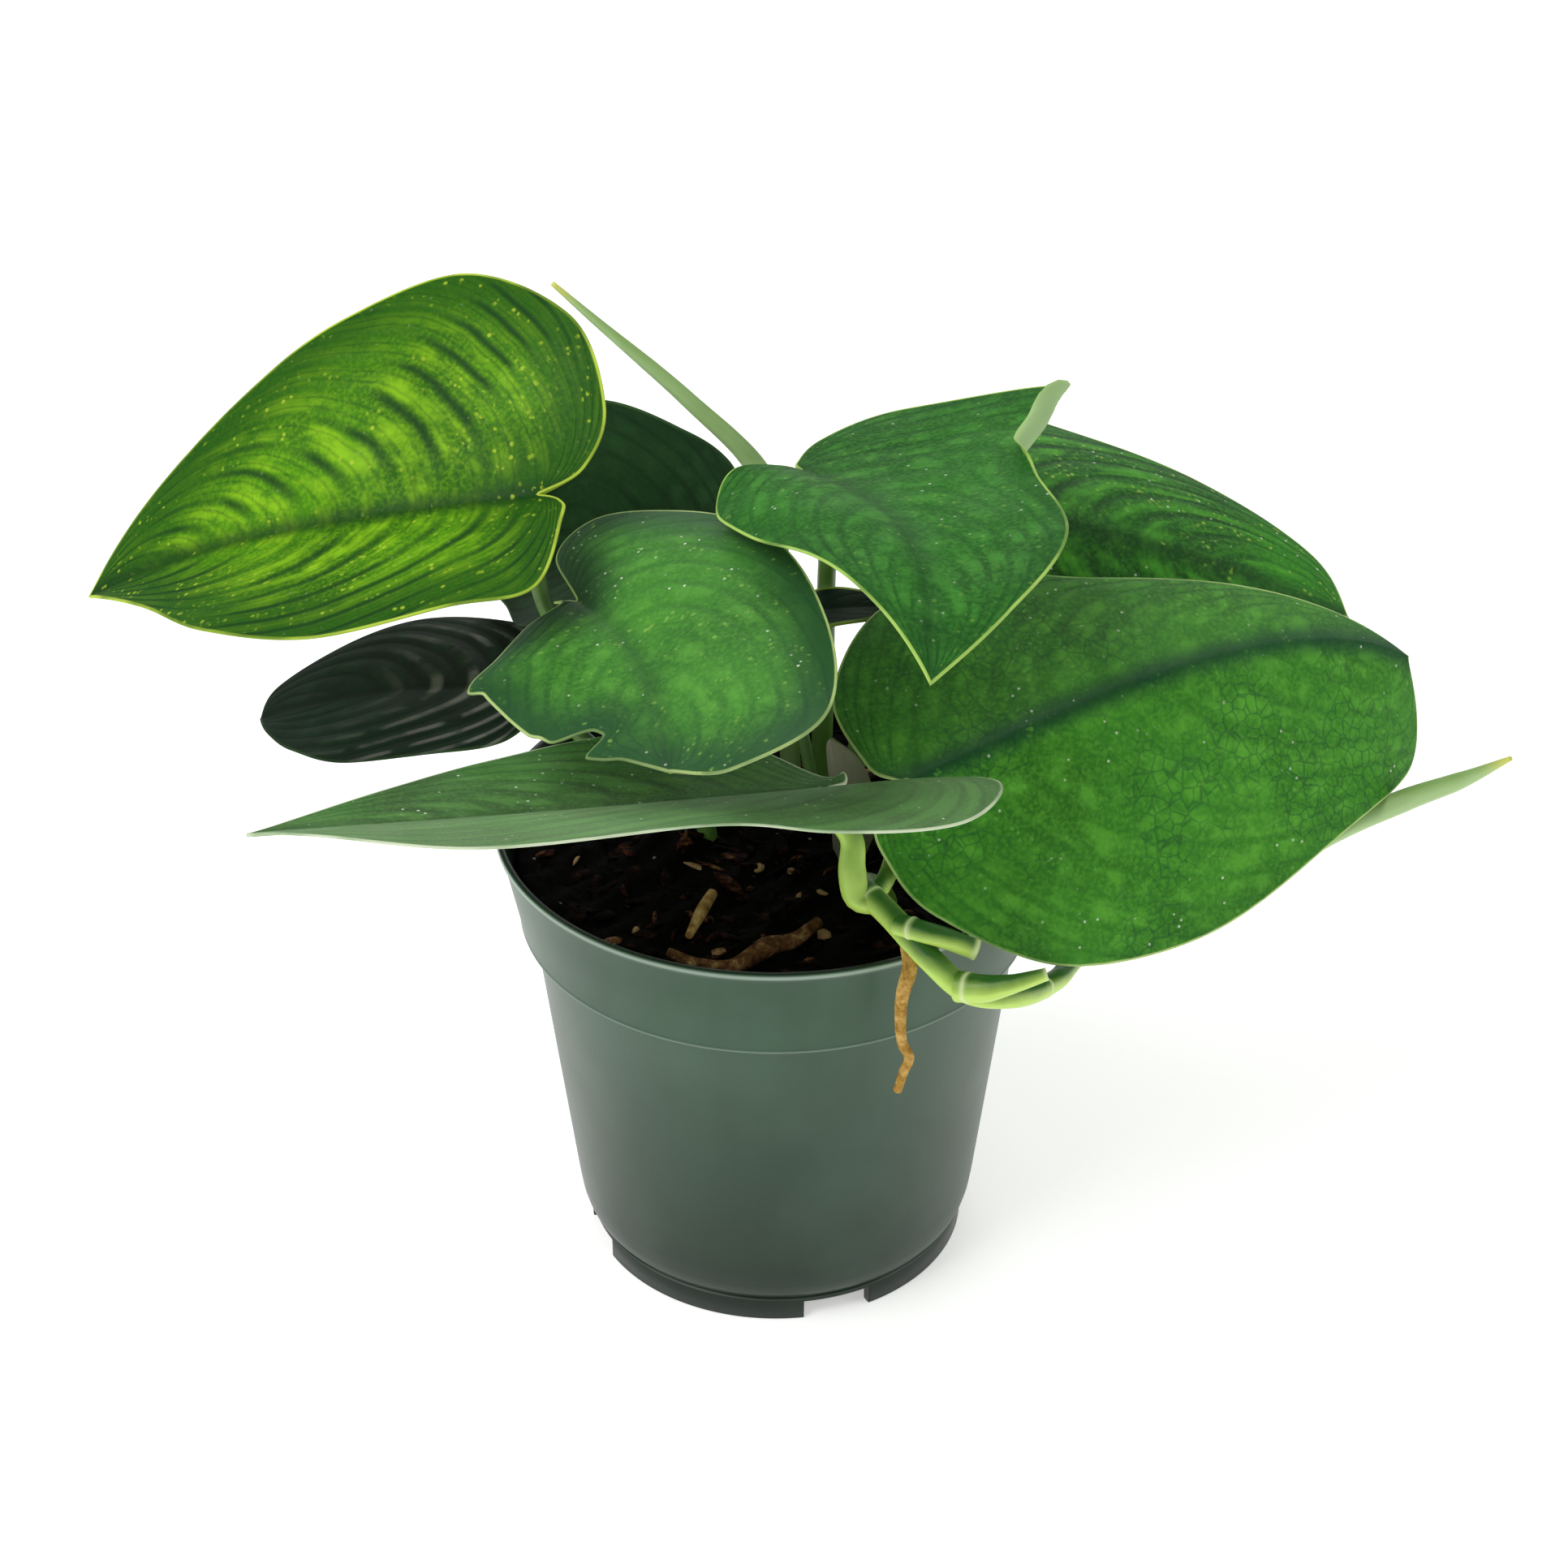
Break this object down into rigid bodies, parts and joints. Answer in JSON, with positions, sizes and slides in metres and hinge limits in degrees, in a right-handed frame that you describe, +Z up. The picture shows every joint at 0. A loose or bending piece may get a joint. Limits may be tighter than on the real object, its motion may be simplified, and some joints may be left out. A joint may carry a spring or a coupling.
{
  "type": "potted jade satin pothos",
  "caption": "Trailing house plant with thick heart-shaped satin leaves, leaf stalks and a vine, in a round plastic nursery pot filled with bark mix.",
  "frame": {"origin": "on the pot's axis, at the surface it stands on, which is the flat disc in the middle of the pot's base", "axes": "+Z up along the pot; -Y is the front, the side the picture is taken from; the long leaves spread along X, with the trailing vine towards +X"},
  "size_m": [0.2642, 0.1457, 0.1908],
  "materials": {
    "pot": "satin moulded green plastic",
    "potting_mix": "dark damp peat and bark splinters",
    "bark": "rough red-brown dead root",
    "dry_root": "dry tan root and wood fibre",
    "bright_leaf": "soft leaf with light coming through, dark side veins",
    "jade_leaf": "satin leaf with a silky sheen and a pale margin",
    "dark_leaf": "satin leaf in shade, quilted",
    "leaf_stalk": "satin dark green stalk",
    "vine": "satin light green stem",
    "young_leaf": "satin pale green rolled leaf",
    "dry_sheath": "dry papery grey-brown"
  },
  "bodies": {
    "root": {"pot": "pot", "potting_mix": "potting_mix", "wood_splinter": "dry_root", "dead_root": "bark", "aerial_root": "dry_root", "leaf_upper_left": "bright_leaf", "leaf_centre": "jade_leaf", "leaf_top": "jade_leaf", "leaf_back_right": "jade_leaf", "leaf_large_right": "jade_leaf", "leaf_front_long": "jade_leaf", "leaf_lower_left": "dark_leaf", "leaf_back_left": "dark_leaf", "leaf_small_inner": "dark_leaf", "stalk_upper_left": "leaf_stalk", "stalk_centre": "leaf_stalk", "stalk_top": "leaf_stalk", "stalk_back_right": "leaf_stalk", "stalk_lower_left": "leaf_stalk", "stalk_back_left": "leaf_stalk", "stalk_small_inner": "leaf_stalk", "trailing_vine": "vine", "furled_leaf_tall": "young_leaf", "furled_leaf_vine_end": "young_leaf", "dried_sheath": "dry_sheath"}
  },
  "joints": []
}
